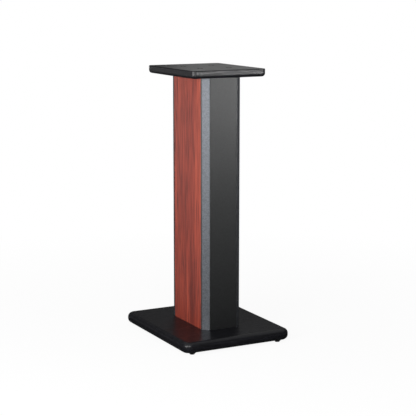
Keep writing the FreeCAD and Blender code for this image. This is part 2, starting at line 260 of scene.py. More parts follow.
class StandColours(bpy.types.PropertyGroup):
    """Colours of the finishes."""

    wrap_dark: colour("Wrap dark", "Wood-grain wrap in its pores", "#08080b")
    wrap_light: colour("Wrap light", "Wood-grain wrap on its ridges", "#17171c")
    pebble_dark: colour("Pebble dark", "Fine-textured wrap between its bumps", "#0b0c0d")
    pebble_light: colour("Pebble light", "Fine-textured wrap on its bumps", "#151718")
    veneer_dark: colour("Veneer dark", "Dark bands and pores of the veneer", "#481a17")
    veneer_middle: colour("Veneer middle", "Body of the veneer", "#8f3728")
    veneer_light: colour("Veneer light", "Light bands of the veneer", "#b75139")
    paint_dark: colour("Paint dark", "Metallic paint between its flakes", "#45484d")
    paint_light: colour("Paint light", "Metallic paint on its flakes", "#585b60")
    board_dark: colour("Board dark", "Dark fibres of the raw boards", "#6b4c33")
    board_light: colour("Board light", "Light fibres of the raw boards", "#a27c54")
    # Black of the core walls and the panels' ends: painted shade for the grooves beside the wood panels
    stain_dark: colour("Stain dark", "Stained core walls between their fibres", "#0b0a0b")
    stain_light: colour("Stain light", "Stained core walls on their fibres", "#1c1a1b")
    nickel_dark: colour("Nickel dark", "Nickel plate in its dull clouds", "#a8a39a")
    nickel_light: colour("Nickel light", "Nickel plate between its clouds", "#d3cec5")
    oxide_dark: colour("Oxide dark", "Black oxide where it is thick", "#1d1e21")
    oxide_light: colour("Oxide light", "Black oxide where it is rubbed", "#3a3b3f")
    zinc_dark: colour("Zinc dark", "Dull spangles of the zinc plate", "#9ba0a7")
    zinc_light: colour("Zinc light", "Bright spangles of the zinc plate", "#c6cad0")
    nylon_dark: colour("Nylon dark", "Moulded nylon in its texture", "#101011")
    nylon_light: colour("Nylon light", "Moulded nylon on its texture", "#1e1e20")
    rubber_dark: colour("Rubber dark", "Rubber between its specks", "#0d0d0d")
    rubber_light: colour("Rubber light", "Rubber on its specks", "#1b1b1b")
    floor: colour("Floor", "Pale studio floor", "#f4f4f4")


class StandStage(bpy.types.PropertyGroup):
    """Camera and lights."""

    lens: FloatProperty(
        name="Lens",
        description="Focal length on a 36 mm wide sensor",
        default=110.5,
        min=1.0,
        unit="CAMERA",
    )
    camera_place: FloatVectorProperty(
        name="Camera place",
        description="Where the camera stands",
        default=(-1.5929, -3.0686, 0.9685),
        unit="LENGTH",
        subtype="TRANSLATION",
    )
    camera_aim: FloatVectorProperty(
        name="Camera aim",
        description="Point that the camera looks at",
        default=(0.0062, 0.0, 0.3527),
        unit="LENGTH",
        subtype="TRANSLATION",
    )
    key: power("Key", "Softbox on the left", 28)
    fill: power("Fill", "Small softbox in front", 12)
    front: power("Front", "Gridded softbox at front right", 0.8)
    rim: power("Rim", "Softbox at the back right", 0.7)
    back: power("Back", "Gridded softbox on the column's rear", 0.12)
    ambient: level("Ambient", "Dim light between backdrop and ceiling", 0.05)
    backdrop: level("Backdrop", "Pale light low down all round", 0.3)
    ceiling: level("Ceiling", "Soft light straight overhead", 0.6)


def add_node(tree, kind, sockets=None, **settings):
    """Adds a node with its settings. A socket, by identifier, takes a value or another node's output."""
    node = tree.nodes.new(kind)
    for name, value in settings.items():
        setattr(node, name, value)
    for identifier, value in (sockets or {}).items():
        socket = next(s for s in node.inputs if s.identifier == identifier)
        if isinstance(value, bpy.types.Node):
            value = next(s for s in value.outputs if s.enabled)
        if isinstance(value, bpy.types.NodeSocket):
            tree.links.new(value, socket)
        else:
            socket.default_value = value
    return node


def new_material(name):
    """A material with an empty node tree."""
    material = bpy.data.materials.new(name)
    material.use_nodes = True
    material.node_tree.nodes.clear()
    return material, material.node_tree


def made_once(build):
    """The material that a function makes, made on first use. No such name is also a CAD slot's."""
    return bpy.data.materials.get(build.__name__) or build(build.__name__)


def two_tone(material, tree, pattern, tones, gloss, relief, constants):
    """Finishes a material whose pattern mixes two tones and varies the roughness and relief with them.

    Gloss is the roughness of the first and second tone, relief the bump's strength and height, if any.
    """
    sockets = {
        "Base Color": add_node(
            tree,
            "ShaderNodeMix",
            {"Factor_Float": pattern, "A_Color": tones[0], "B_Color": tones[1]},
            data_type="RGBA",
        ),
        "Roughness": add_node(
            tree, "ShaderNodeMapRange", {"Value": pattern, "To Min": gloss[0], "To Max": gloss[1]}
        ),
    }
    if relief:
        sockets["Normal"] = add_node(
            tree, "ShaderNodeBump", {"Height": pattern, "Strength": relief[0], "Distance": relief[1]}
        )
    shader = add_node(tree, "ShaderNodeBsdfPrincipled", {**sockets, **constants})
    add_node(tree, "ShaderNodeOutputMaterial", {"Surface": shader})
    return material


def mottled(name, tones, spacing, noise, window, gloss, relief, constants):
    """A finish in two tones, mixed by a noise of one spacing between the ends of its window."""
    material, tree = new_material(name)
    place = add_node(tree, "ShaderNodeTexCoord").outputs["Object"]
    specks = add_node(tree, "ShaderNodeTexNoise", {"Vector": place, "Scale": 1 / spacing, **noise})
    pattern = add_node(
        tree, "ShaderNodeMapRange", {"Value": specks, "From Min": window[0], "From Max": window[1]}
    )
    return two_tone(material, tree, pattern, tones, gloss, relief, constants)


def black_woodgrain_wrap(name):
    """PVC foil pressed with a wood grain: satin black, with streaks that catch light at a low angle.

    Real pores are about 0.4 mm wide and 6 mm long, too fine to show, so they are drawn larger.
    """
    sizes = bpy.context.scene.stand_sizes
    colours = bpy.context.scene.stand_colours
    material, tree = new_material(name)
    foil = add_node(tree, "ShaderNodeUVMap", uv_map=WRAP_MAP)
    scale = (1 / sizes.wrap_pore_length, 1 / sizes.wrap_pore_width, 1)
    grain = add_node(tree, "ShaderNodeMapping", {"Vector": foil, "Scale": scale})
    pores = add_node(
        tree,
        "ShaderNodeTexNoise",
        {"Vector": grain, "Scale": 1, "Detail": 3, "Roughness": 0.65},
    )
    ridge = add_node(tree, "ShaderNodeMapRange", {"Value": pores, **WRAP_RIDGE})
    tones = (colours.wrap_dark, colours.wrap_light)
    gloss = (0.4, 0.26)
    relief = (0.3, 0.25 * MM)
    return two_tone(material, tree, ridge, tones, gloss, relief, {"Specular IOR Level": 0.33})


def black_pebbled_wrap(name):
    """PVC foil with a fine leather-like emboss: dull black with a soft, speckled sheen.

    Real bumps are about 0.4 mm apart, too fine to show, so they are drawn larger.
    """
    colours = bpy.context.scene.stand_colours
    tones = (colours.pebble_dark, colours.pebble_light)
    spacing = bpy.context.scene.stand_sizes.pebble
    gloss = (0.46, 0.42)
    relief = (0.1, 0.2 * MM)
    return mottled(
        name, tones, spacing, FINE_NOISE, CRISP_WINDOW, gloss, relief, {"Specular IOR Level": 0.7}
    )


def lacquered_red_veneer(name):
    """Straight-grained red-brown veneer under satin lacquer: long bands, growth lines and dark pores.

    Real pores are 0.3 mm wide and the lines as little as 1 mm, too fine to show, so both are drawn larger.
    """
    sizes = bpy.context.scene.stand_sizes
    colours = bpy.context.scene.stand_colours
    material, tree = new_material(name)
    place = add_node(tree, "ShaderNodeTexCoord").outputs["Object"]
    slow = add_node(tree, "ShaderNodeMapping", {"Vector": place, "Scale": SWAY_SCALE})
    sway = add_node(tree, "ShaderNodeTexNoise", {"Vector": slow, "Scale": 1, "Detail": 1})
    reach = sizes.veneer_band * SWAY_SHARE
    shift = add_node(tree, "ShaderNodeMapRange", {"Value": sway, "To Min": -reach, "To Max": reach})
    aside = add_node(tree, "ShaderNodeCombineXYZ", {"Y": shift})
    swayed = add_node(
        tree, "ShaderNodeVectorMath", {"Vector": place, "Vector_001": aside}, operation="ADD"
    )
    grains = {}
    for grain, width, stretch, detail in (
        ("bands", sizes.veneer_band, 14, 2),
        ("lines", sizes.veneer_line, 50, 3),
        ("pores", sizes.veneer_pore, 34, 1),
    ):
        scale = (1 / width, 1 / width, 1 / width / stretch)
        drawn = add_node(tree, "ShaderNodeMapping", {"Vector": swayed, "Scale": scale})
        grains[grain] = add_node(
            tree, "ShaderNodeTexNoise", {"Vector": drawn, "Scale": 1, "Detail": detail, "Roughness": 0.6}
        )
    figure = add_node(
        tree,
        "ShaderNodeMix",
        {"Factor_Float": LINE_SHARE, "A_Float": grains["bands"], "B_Float": grains["lines"]},
    )
    body = add_node(tree, "ShaderNodeMapRange", {"Value": figure, **VENEER_BODY})
    glow = add_node(tree, "ShaderNodeMapRange", {"Value": figure, **VENEER_GLOW})
    pore = add_node(tree, "ShaderNodeMapRange", {"Value": grains["pores"], **VENEER_PORES})
    # The panels' ends are made black: painted shade, which draws the dark groove beside the corner strips
    end = add_node(tree, "ShaderNodeAttribute", attribute_name=PAINTED_GROOVE_SHADE).outputs["Fac"]
    tint = colours.veneer_dark
    for share, tone in (
        (body, colours.veneer_middle),
        (glow, colours.veneer_light),
        (pore, colours.veneer_dark),
        (end, colours.stain_dark),
    ):
        tint = add_node(
            tree,
            "ShaderNodeMix",
            {"Factor_Float": share, "A_Color": tint, "B_Color": tone},
            data_type="RGBA",
        )
    gloss = add_node(tree, "ShaderNodeMapRange", {"Value": pore, "To Min": 0.46, "To Max": 0.62})
    relief = add_node(
        tree, "ShaderNodeBump", {"Height": pore, "Strength": 0.25, "Distance": -0.1 * MM}
    )
    shader = add_node(
        tree,
        "ShaderNodeBsdfPrincipled",
        {"Base Color": tint, "Roughness": gloss, "Normal": relief, "Specular IOR Level": 0.9},
    )
    add_node(tree, "ShaderNodeOutputMaterial", {"Surface": shader})
    return material


def flaked_grey_paint(name):
    """Sprayed grey lacquer with metal flake: a cool satin grey that sparkles finely.

    Real flakes are under 0.1 mm, too fine to show, so they are drawn larger.
    """
    sizes = bpy.context.scene.stand_sizes
    colours = bpy.context.scene.stand_colours
    material, tree = new_material(name)
    place = add_node(tree, "ShaderNodeTexCoord").outputs["Object"]
    flakes = add_node(tree, "ShaderNodeTexVoronoi", {"Vector": place, "Scale": 1 / sizes.flake})
    shade = add_node(tree, "ShaderNodeSeparateColor", {"Color": flakes.outputs["Color"]})
    tones = (colours.paint_dark, colours.paint_light)
    gloss = (0.44, 0.5)
    relief = (0.05, 0.1 * MM)
    return two_tone(material, tree, shade, tones, gloss, relief, {"Metallic": 0.55})


def bare_fibreboard(name):
    """Pressed wood fibre, sanded and left bare: dull brown with a felted fleck."""
    colours = bpy.context.scene.stand_colours
    return felted(name, (colours.board_dark, colours.board_light))


def black_stained_fibreboard(name):
    """Pressed wood fibre made black as painted shade, so that the grooves beside the wood panels read as dark
    lines.
    """
    colours = bpy.context.scene.stand_colours
    return felted(name, (colours.stain_dark, colours.stain_light))


def felted(name, tones):
    """A dull, felted board in two tones."""
    spacing = bpy.context.scene.stand_sizes.fibre
    gloss = (0.92, 0.8)
    relief = (0.2, 0.1 * MM)
    return mottled(
        name, tones, spacing, FELTED_NOISE, SOFT_WINDOW, gloss, relief, {"Specular IOR Level": 0.2}
    )


def bright_nickel_plate(name):
    """Bright nickel over turned steel: a warm white metal, faintly clouded."""
    colours = bpy.context.scene.stand_colours
    return plated(name, (colours.nickel_dark, colours.nickel_light), cloud=0.6 * MM, gloss=(0.5, 0.36))


def oiled_black_oxide(name):
    """Steel blackened in a hot salt bath and oiled: a dark metal with a soft gloss, rubbed in places."""
    colours = bpy.context.scene.stand_colours
    return plated(name, (colours.oxide_dark, colours.oxide_light), cloud=1.2 * MM, gloss=(0.5, 0.34))


def bright_zinc_plate(name):
    """Zinc plated steel: a bluish white metal, cloudy and a little uneven."""
    colours = bpy.context.scene.stand_colours
    return plated(name, (colours.zinc_dark, colours.zinc_light), cloud=1 * MM, gloss=(0.45, 0.28))


def plated(name, tones, cloud, gloss):
    """A metal in two tones, whose gloss varies over clouds of one size."""
    return mottled(name, tones, cloud, CLOUDY_NOISE, SOFT_WINDOW, gloss, None, {"Metallic": 1.0})


def textured_black_nylon(name):
    """Injection-moulded nylon: near-black and matt, with a spark-eroded mould texture."""
    colours = bpy.context.scene.stand_colours
    tones = (colours.nylon_dark, colours.nylon_light)
    return moulded(name, tones, speck=0.5 * MM, gloss=(0.6, 0.45), specular=0.35)


def dusty_black_rubber(name):
    """Moulded rubber: black and dull, with fine dust-like specks."""
    colours = bpy.context.scene.stand_colours
    tones = (colours.rubber_dark, colours.rubber_light)
    return moulded(name, tones, speck=0.8 * MM, gloss=(0.9, 0.75), specular=0.25)


def moulded(name, tones, speck, gloss, specular):
    """A moulded plastic in two tones with a fine relief."""
    constants = {"Specular IOR Level": specular}
    relief = (0.2, 0.05 * MM)
    return mottled(name, tones, speck, FINE_NOISE, CRISP_WINDOW, gloss, relief, constants)


def pale_floor(name):
    """Matt white studio paper: seen as white, with a soft trace of the shadow close to the stand.

    Reflections see it white far off, and darker near the stand, behind it and on its right: painted shade.
    """
    colours = bpy.context.scene.stand_colours
    material, tree = new_material(name)
    rays = add_node(tree, "ShaderNodeLightPath").outputs
    place = add_node(tree, "ShaderNodeTexCoord").outputs["Object"]
    away = add_node(tree, "ShaderNodeVectorMath", {"Vector": place}, operation="LENGTH").outputs["Value"]
    bearing = add_node(tree, "ShaderNodeVectorMath", {"Vector": place}, operation="NORMALIZE")
    shade_bearing = add_node(
        tree,
        "ShaderNodeVectorMath",
        {"Vector": bearing, "Vector_001": PAINTED_SHADE_SIDE},
        operation="DOT_PRODUCT",
    ).outputs["Value"]
    # Painted shade in the floor's reflections, towards the side behind the stand and to its right
    side_shade = add_node(tree, "ShaderNodeMapRange", {"Value": shade_bearing, **SHADE_SIDE_RAMP})
    clear = add_node(tree, "ShaderNodeMapRange", {"Value": away, **SEEN_RAMP})
    seen = add_node(
        tree, "ShaderNodeMath", {"Value": rays["Is Camera Ray"], "Value_001": clear}, operation="MULTIPLY"
    )
    mirrored = add_node(
        tree,
        "ShaderNodeMath",
        {"Value": rays["Is Glossy Ray"], "Value_001": rays["Is Transmission Ray"]},
        operation="ADD",
    )
    share = add_node(
        tree, "ShaderNodeMath", {"Value": seen, "Value_001": mirrored}, operation="ADD", use_clamp=True
    )
    # Painted shade in the floor's reflections, darker near the stand
    near_shade = add_node(tree, "ShaderNodeMapRange", {"Value": away, **MIRROR_SHADE_RAMP})
    painted_reflection_shade = add_node(
        tree, "ShaderNodeMath", {"Value": near_shade, "Value_001": side_shade}, operation="MULTIPLY"
    )
    strength = add_node(
        tree,
        "ShaderNodeMath",
        {"Value": rays["Is Camera Ray"], "Value_001": painted_reflection_shade},
        operation="MAXIMUM",
    )
    paper = add_node(tree, "ShaderNodeBsdfDiffuse", {"Color": colours.floor})
    white = add_node(tree, "ShaderNodeEmission", {"Color": WHITE, "Strength": strength})
    shader = add_node(tree, "ShaderNodeMixShader", {"Fac": share, "Shader": paper, "Shader_001": white})
    add_node(tree, "ShaderNodeOutputMaterial", {"Surface": shader})
    return material


def link(obj):
    """Puts an object in the scene."""
    bpy.context.scene.collection.objects.link(obj)
    return obj


def evaluated_mesh(obj):
    """What an object's modifiers make of it, as a plain mesh."""
    depsgraph = bpy.context.evaluated_depsgraph_get()
    return bpy.data.meshes.new_from_object(obj.evaluated_get(depsgraph), depsgraph=depsgraph)


def closed_mesh(shape, name):
    """Turns a closed bmesh's faces outwards and makes a mesh of it."""
    bmesh.ops.recalc_face_normals(shape, faces=shape.faces)
    mesh = bpy.data.meshes.new(name)
    shape.to_mesh(mesh)
    shape.free()
    return mesh


def place_piece(name, mesh, material, body, slot, *nodes):
    """Shows a finished mesh in place of its CAD nodes, riding on their body."""
    mesh.shade_smooth()
    mesh.set_sharp_from_angle(angle=SHARP_ANGLE)
    piece = link(bpy.data.objects.new(name, mesh))
    modifier = piece.modifiers.new("even shading on flat faces", "WEIGHTED_NORMAL")
    modifier.keep_sharp = True
    piece.data = evaluated_mesh(piece)
    piece.data.name = name
    piece.modifiers.remove(modifier)
    piece.data.materials.clear()
    piece.data.materials.append(material)
    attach(piece, body)
    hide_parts(*nodes)


def dress_node(node, material):
    """Gives a CAD node that keeps its shape a better finish."""
    materials = frame["nodes"][node].data.materials
    materials.clear()
    materials.append(material)


def middle(low, high):
    """Centre of a box in plan."""
    return (low.x + high.x) / 2, (low.y + high.y) / 2


def fastener_spacing(low, high, radius):
    """Distances between the centres of four like round fasteners, from their common box."""
    return high.x - low.x - 2 * radius, high.y - low.y - 2 * radius


def ring(shape, radius, height, centre=(0, 0), flats=0, segments=ROUND_SEGMENTS):
    """Vertices of a circle, or of a polygon whose flats lie at the radius, or one vertex at no radius."""
    if radius == 0:
        return [shape.verts.new((centre[0], centre[1], height))]
    verts = []
    for step in range(segments):
        angle = FULL_TURN * step / segments
        reach = radius
        if flats:
            flat = FULL_TURN / flats
            reach = radius / math.cos((angle % flat) - flat / 2)
        x = centre[0] + reach * math.cos(angle)
        y = centre[1] + reach * math.sin(angle)
        verts.append(shape.verts.new((x, y, height)))
    return verts


def bridge(shape, upper, lower):
    """Joins two rings of vertices with faces; either may be a single vertex."""
    steps = max(len(upper), len(lower))
    for step in range(steps):
        after = (step + 1) % steps
        corners = [upper[step % len(upper)], upper[after % len(upper)]]
        corners += [lower[after % len(lower)], lower[step % len(lower)]]
        shape.faces.new(list(dict.fromkeys(corners)))


def rim(shape, verts):
    """The edges that close a ring of vertices."""
    pairs = zip(verts, verts[1:] + verts[:1])
    return [shape.edges.get(pair) or shape.edges.new(pair) for pair in pairs]


def turned(profile, name, closed=False):
    """A mesh turned about Z from (radius, height) or (radius, height, flats) points."""
    shape = bmesh.new()
    rings = [ring(shape, point[0], point[1], flats=point[2] if len(point) > 2 else 0) for point in profile]
    for upper, lower in zip(rings, rings[1:] + rings[:1] if closed else rings[1:]):
        bridge(shape, upper, lower)
    return closed_mesh(shape, name)


def rounded_outline(low, high, corner, inset):
    """Plan points of a plate's rim, moved in by an inset."""
    points = []
    for quarter, (side, end) in enumerate(((1, 1), (-1, 1), (-1, -1), (1, -1))):
        x = side * (high.x - low.x) / 2 - side * corner
        y = end * (high.y - low.y) / 2 - end * corner
        centre = Vector((x, y))
        for step in range(CORNER_STEPS + 1):
            angle = (quarter + step / CORNER_STEPS) * QUARTER_TURN
            points.append(centre + (corner - inset) * Vector((math.cos(angle), math.sin(angle))))
    return points


def plate_edge(low, high, lower, upper):
    """A plate's edge from its upper to its lower face: insets, heights and lengths of foil so far."""
    turns = [step / EDGE_STEPS * QUARTER_TURN for step in range(EDGE_STEPS + 1)]
    wall = high.z - low.z - upper - lower
    points = []
    for turn in turns:
        points.append((upper * (1 - math.sin(turn)), high.z - upper * (1 - math.cos(turn)), upper * turn))
    for turn in turns:
        run = upper * QUARTER_TURN + wall + lower * turn
        points.append((lower * (1 - math.cos(turn)), low.z + lower * (1 - math.sin(turn)), run))
    return points


def wrapped_plate(name, low, high, corner, lower, upper, bores):
    """A plate with round corners and edges, its bores, and a map that lays one sheet of foil over it.

    A bore is a centre and (radius, height) points from its upper to its lower end.
    """
    shape = bmesh.new()
    foil = {}
    rings = []
    for inset, height, run in plate_edge(low, high, lower, upper):
        verts = []
        laid = rounded_outline(low, high, corner, upper - run)
        for point, spread in zip(rounded_outline(low, high, corner, inset), laid):
            vert = shape.verts.new((point.x, point.y, height))
            foil[vert] = spread
            verts.append(vert)
        rings.append(verts)
    for above, below in zip(rings, rings[1:]):
        bridge(shape, above, below)
    upper_rims = rim(shape, rings[0])
    lower_rims = rim(shape, rings[-1])
    for centre, profile in bores:
        steps = [ring(shape, radius, height, centre) for radius, height in profile]
        for above, below in zip(steps, steps[1:]):
            bridge(shape, above, below)
        if profile[0][0]:
            upper_rims += rim(shape, steps[0])
        lower_rims += rim(shape, steps[-1])
    bmesh.ops.triangle_fill(shape, use_beauty=True, edges=upper_rims)
    bmesh.ops.triangle_fill(shape, use_beauty=True, edges=lower_rims)
    wrap = shape.loops.layers.uv.new(WRAP_MAP)
    for face in shape.faces:
        underside = all(abs(vert.co.z - low.z) < RIM_EASE / 2 for vert in face.verts)
        for loop in face.loops:
            flat = loop.vert.co.xy
            loop[wrap].uv = flat if underside else foil.get(loop.vert, flat)
    return closed_mesh(shape, name)


def eased_prism(name, corners, radii, low, high):
    """An upright board from its plan corners, each rounded by its radius."""
    shape = bmesh.new()
    outline = []
    for index, (corner, radius) in enumerate(zip(corners, radii)):
        if not radius:
            outline.append(corner)
            continue
        before = (corners[index - 1] - corner).normalized()
        after = (corners[(index + 1) % len(corners)] - corner).normalized()
        half = before.angle(after) / 2
        centre = corner + (before + after).normalized() * radius / math.sin(half)
        start = (corner + before * radius / math.tan(half) - centre).normalized()
        stop = (corner + after * radius / math.tan(half) - centre).normalized()
        for step in range(EASE_STEPS + 1):
            outline.append(centre + radius * start.slerp(stop, step / EASE_STEPS))
    lower = [shape.verts.new((point.x, point.y, low)) for point in outline]
    upper = [shape.verts.new((point.x, point.y, high)) for point in outline]
    bridge(shape, upper, lower)
    shape.faces.new(lower)
    shape.faces.new(upper)
    return closed_mesh(shape, name)


def show_board(name, node, axis, outward, edge):
    """An upright board as large as a CAD node's box, with the two edges of its show face rounded."""
    low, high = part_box(node)
    inner, outer = (low[axis], high[axis]) if outward > 0 else (high[axis], low[axis])
    along = 1 - axis
    corners = []
    for depth, end in ((inner, low), (outer, low), (outer, high), (inner, high)):
        corners.append(Vector((end[along], depth) if axis else (depth, end[along])))
    return eased_prism(name, corners, (0, edge, edge, 0), low.z, high.z)


def new_node_group(name, sockets):
    """A geometry node tree with named inputs, and its input node."""
    tree = bpy.data.node_groups.new(name, "GeometryNodeTree")
    tree.interface.new_socket("Geometry", in_out="OUTPUT", socket_type="NodeSocketGeometry")
    for socket, kind in sockets.items():
        tree.interface.new_socket(socket, in_out="INPUT", socket_type="NodeSocket" + kind)
    return tree, add_node(tree, "NodeGroupInput").outputs


def close_node_group(tree, geometry, material):
    """Ends a tree with real geometry that carries its material."""
    real = add_node(tree, "GeometryNodeRealizeInstances", {"Geometry": geometry})
    finished = add_node(tree, "GeometryNodeSetMaterial", {"Geometry": real, "Material": material})
    output = tree.interface.items_tree["Geometry"].identifier
    add_node(tree, "NodeGroupOutput", {output: finished})
    return tree


def threaded_rod_tree():
    """An upright rod with a V thread that runs out at both ends."""
    tree, given = new_node_group(
        "threaded rod",
        {"Radius": "Float", "Pitch": "Float", "Length": "Float", "Bottom": "Float", "Material": "Material"},
    )
    place = add_node(tree, "GeometryNodeInputPosition")
    axes = add_node(tree, "ShaderNodeSeparateXYZ", {"Vector": place}).outputs
    # The flank's ramp is linked to the wave once the table has made it
    flank = add_node(tree, "ShaderNodeMapRange", {"From Min": THREAD_FLANK[0], "From Max": THREAD_FLANK[1]})
    values = {socket.name: socket for socket in (*given, *axes)}
    values["flank"] = flank
    for result, operation, first, second in (
        ("turns", "DIVIDE", "Length", "Pitch"),
        ("rings", "MULTIPLY", "turns", THREAD_RINGS),
        ("angle", "ARCTAN2", "Y", "X"),
        ("part turn", "DIVIDE", "angle", FULL_TURN),
        ("climb", "DIVIDE", "Z", "Pitch"),
        ("phase", "SUBTRACT", "climb", "part turn"),
        ("wave", "PINGPONG", "phase", 0.5),
        ("rise", "ABSOLUTE", "Z", 0),
        ("half", "DIVIDE", "Length", 2),
        ("spare", "SUBTRACT", "half", "rise"),
        ("run-out", "DIVIDE", "spare", "Pitch"),
        ("crest", "MULTIPLY", "flank", "run-out"),
        ("groove", "SUBTRACT", 1, "crest"),
        ("depth", "MULTIPLY", "Pitch", THREAD_DEPTH_SHARE),
        ("share", "DIVIDE", "depth", "Radius"),
        ("cut", "MULTIPLY", "groove", "share"),
        ("reach", "SUBTRACT", 1, "cut"),
        ("lift", "ADD", "Bottom", "half"),
    ):
        values[result] = add_node(
            tree,
            "ShaderNodeMath",
            {"Value": values.get(first, first), "Value_001": values.get(second, second)},
            operation=operation,
            use_clamp=result == "run-out",
        )
    tree.links.new(values["wave"].outputs["Value"], flank.inputs["Value"])
    bar = add_node(
        tree,
        "GeometryNodeMeshCylinder",
        {
            "Vertices": THREAD_SEGMENTS,
            "Side Segments": values["rings"],
            "Radius": given["Radius"],
            "Depth": given["Length"],
        },
    )
    scale = add_node(tree, "ShaderNodeCombineXYZ", {"X": values["reach"], "Y": values["reach"], "Z": 1})
    shaped = add_node(
        tree, "ShaderNodeVectorMath", {"Vector": place, "Vector_001": scale}, operation="MULTIPLY"
    )
    thread = add_node(tree, "GeometryNodeSetPosition", {"Geometry": bar.outputs["Mesh"], "Position": shaped})
    up = add_node(tree, "ShaderNodeCombineXYZ", {"Z": values["lift"]})
    raised = add_node(tree, "GeometryNodeTransform", {"Geometry": thread, "Translation": up})
    return close_node_group(tree, raised, given["Material"])


def four_fasteners_tree():
    """One fastener repeated at the corners of a rectangle, each turned as it was left when tightened."""
    tree, given = new_node_group(
        "four fasteners",
        {
            "Fastener": "Object",
            "Spacing X": "Float",
            "Spacing Y": "Float",
            "Seed": "Int",
            "Material": "Material",
        },
    )
    places = add_node(
        tree,
        "GeometryNodeMeshGrid",
        {"Size X": given["Spacing X"], "Size Y": given["Spacing Y"], "Vertices X": 2, "Vertices Y": 2},
    )
    fastener = add_node(tree, "GeometryNodeObjectInfo", {"Object": given["Fastener"]})
    turn = add_node(
        tree,
        "FunctionNodeRandomValue",
        {"Max": (0, 0, FULL_TURN), "Seed": given["Seed"]},
        data_type="FLOAT_VECTOR",
    )
    repeated = add_node(
        tree,
        "GeometryNodeInstanceOnPoints",
        {"Points": places, "Instance": fastener.outputs["Geometry"], "Rotation": turn},
    )
    return close_node_group(tree, repeated, given["Material"])


def fluted_disc_tree():
    """A turned disc with finger flutes cut round its rim."""
    tree, given = new_node_group(
        "fluted disc",
        {
            "Disc": "Object",
            "Flutes": "Int",
            "Flute Radius": "Float",
            "Flute Circle": "Float",
            "Height": "Float",
            "Material": "Material",
        },
    )
    centres = add_node(
        tree, "GeometryNodeMeshCircle", {"Vertices": given["Flutes"], "Radius": given["Flute Circle"]}
    )
    cutter = add_node(
        tree,
        "GeometryNodeMeshCylinder",
        {"Vertices": FLUTE_SEGMENTS, "Radius": given["Flute Radius"], "Depth": given["Height"]},
    )
    cutters = add_node(
        tree, "GeometryNodeInstanceOnPoints", {"Points": centres, "Instance": cutter.outputs["Mesh"]}
    )
    loose = add_node(tree, "GeometryNodeRealizeInstances", {"Geometry": cutters})
    disc = add_node(tree, "GeometryNodeObjectInfo", {"Object": given["Disc"]})
    cut = add_node(
        tree,
        "GeometryNodeMeshBoolean",
        {"Mesh 1": disc.outputs["Geometry"], "Mesh 2": loose},
        operation="DIFFERENCE",
        solver="MANIFOLD",
    )
    return close_node_group(tree, cut.outputs["Mesh"], given["Material"])


def grow(tree, name, inputs):
    """Runs a node tree with these named inputs and returns its result as a plain mesh."""
    carrier = link(bpy.data.objects.new(name, bpy.data.meshes.new(name)))
    modifier = carrier.modifiers.new(tree.name, "NODES")
    modifier.node_group = tree
    for item in tree.interface.items_tree:
        if item.in_out == "INPUT":
            modifier[item.identifier] = inputs[item.name]
    mesh = evaluated_mesh(carrier)
    carrier.modifiers.remove(modifier)
    bpy.data.objects.remove(carrier)
    return mesh


def joined(name, *meshes):
    """One mesh of several closed ones."""
    shape = bmesh.new()
    for mesh in meshes:
        shape.from_mesh(mesh)
    return closed_mesh(shape, name)


def threaded_rod(name, radius, pitch, bottom, top, material):
    """The mesh of an upright threaded rod."""
    inputs = {"Radius": radius, "Pitch": pitch, "Length": top - bottom, "Bottom": bottom}
    return grow(threaded_rod_tree(), name, {**inputs, "Material": material})


def four_fasteners(name, mesh, spacing, seed, material):
    """The mesh of four like fasteners about the stand's middle."""
    pattern = link(bpy.data.objects.new(name + "_pattern", mesh))
    repeated = grow(
        four_fasteners_tree(),
        name,
        {
            "Fastener": pattern,
            "Spacing X": spacing[0],
            "Spacing Y": spacing[1],
            "Seed": seed,
            "Material": material,
        },
    )
    bpy.data.objects.remove(pattern)
    return repeated


